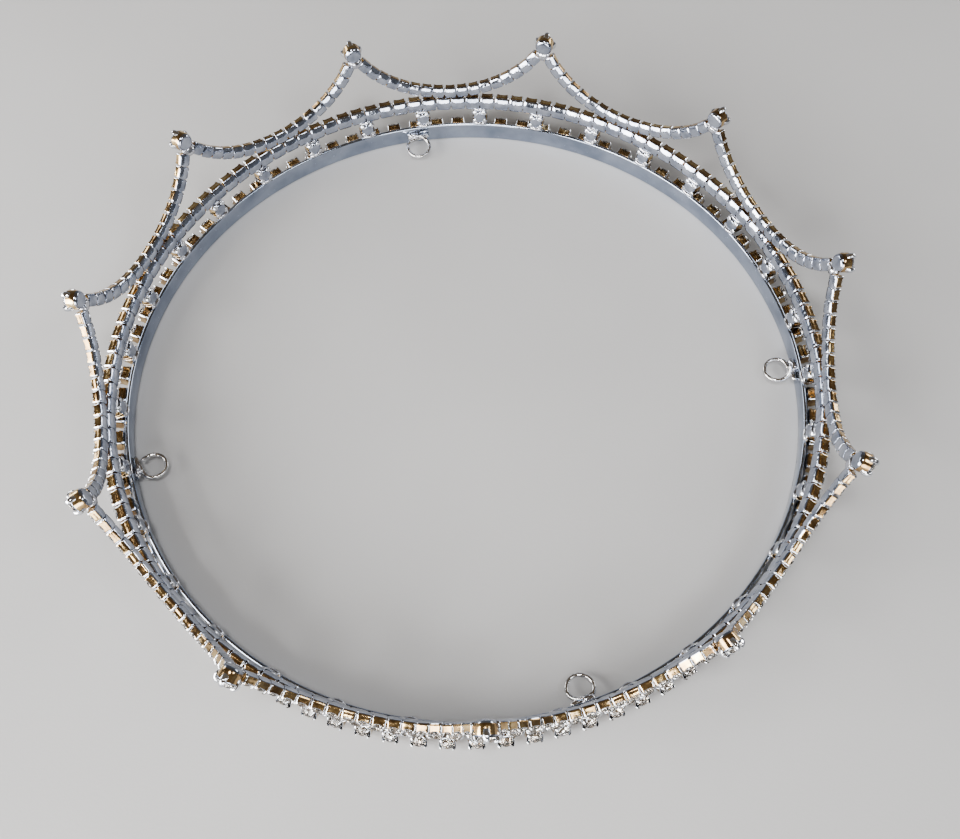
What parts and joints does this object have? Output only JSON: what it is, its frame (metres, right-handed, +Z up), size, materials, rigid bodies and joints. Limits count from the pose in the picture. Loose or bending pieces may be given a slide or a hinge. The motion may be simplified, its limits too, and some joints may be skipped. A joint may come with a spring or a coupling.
{
  "type": "rhinestone hair crown",
  "caption": "Round silver-plated crown of claw-set crystals: a flat band, spaced and close-set stone chains, hanging scallops meeting at peak stones, and wire loops for hair pins.",
  "frame": {"origin": "centre of the band's lower edge, on the surface the crown stands on", "axes": "+Z up along the crown's axis towards the peaks; -Y is the front; +X is the crown's right side seen from the front"},
  "size_m": [0.1511, 0.1505, 0.0267],
  "materials": {
    "band": "bright silver plate, polished, with fine drawing lines along the strip",
    "cup_plate": "bright silver plate over stamped brass, mirror-like, with warm tarnish in the corners",
    "setting_plate": "bright silver plate over spun brass, mirror-like",
    "crystal": "clear faceted crystal with a silvered back",
    "solder": "bright solder, rounded and slightly dull",
    "wire": "bright silver-plated round wire"
  },
  "bodies": {
    "root": {"base_band": "band", "base_row_cups": "cup_plate", "base_row_stones": "crystal", "spacer_settings": "cup_plate", "spacer_stones": "crystal", "spacer_solder": "solder", "upper_chain_cups": "cup_plate", "upper_chain_stones": "crystal", "scallop_chain_01": "cup_plate", "scallop_chain_02": "cup_plate", "scallop_chain_03": "cup_plate", "scallop_chain_04": "cup_plate", "scallop_chain_05": "cup_plate", "scallop_chain_06": "cup_plate", "scallop_chain_07": "cup_plate", "scallop_chain_08": "cup_plate", "scallop_chain_09": "cup_plate", "scallop_chain_10": "cup_plate", "scallop_chain_11": "cup_plate", "scallop_stones_01": "crystal", "scallop_stones_02": "crystal", "scallop_stones_03": "crystal", "scallop_stones_04": "crystal", "scallop_stones_05": "crystal", "scallop_stones_06": "crystal", "scallop_stones_07": "crystal", "scallop_stones_08": "crystal", "scallop_stones_09": "crystal", "scallop_stones_10": "crystal", "scallop_stones_11": "crystal", "peak_setting_01": "setting_plate", "peak_setting_02": "setting_plate", "peak_setting_03": "setting_plate", "peak_setting_04": "setting_plate", "peak_setting_05": "setting_plate", "peak_setting_06": "setting_plate", "peak_setting_07": "setting_plate", "peak_setting_08": "setting_plate", "peak_setting_09": "setting_plate", "peak_setting_10": "setting_plate", "peak_setting_11": "setting_plate", "peak_stone_01": "crystal", "peak_stone_02": "crystal", "peak_stone_03": "crystal", "peak_stone_04": "crystal", "peak_stone_05": "crystal", "peak_stone_06": "crystal", "peak_stone_07": "crystal", "peak_stone_08": "crystal", "peak_stone_09": "crystal", "peak_stone_10": "crystal", "peak_stone_11": "crystal", "peak_joints": "solder", "pin_loop_front": "wire", "pin_loop_right": "wire", "pin_loop_back": "wire", "pin_loop_left": "wire", "pin_loop_solder": "solder"}
  },
  "joints": []
}
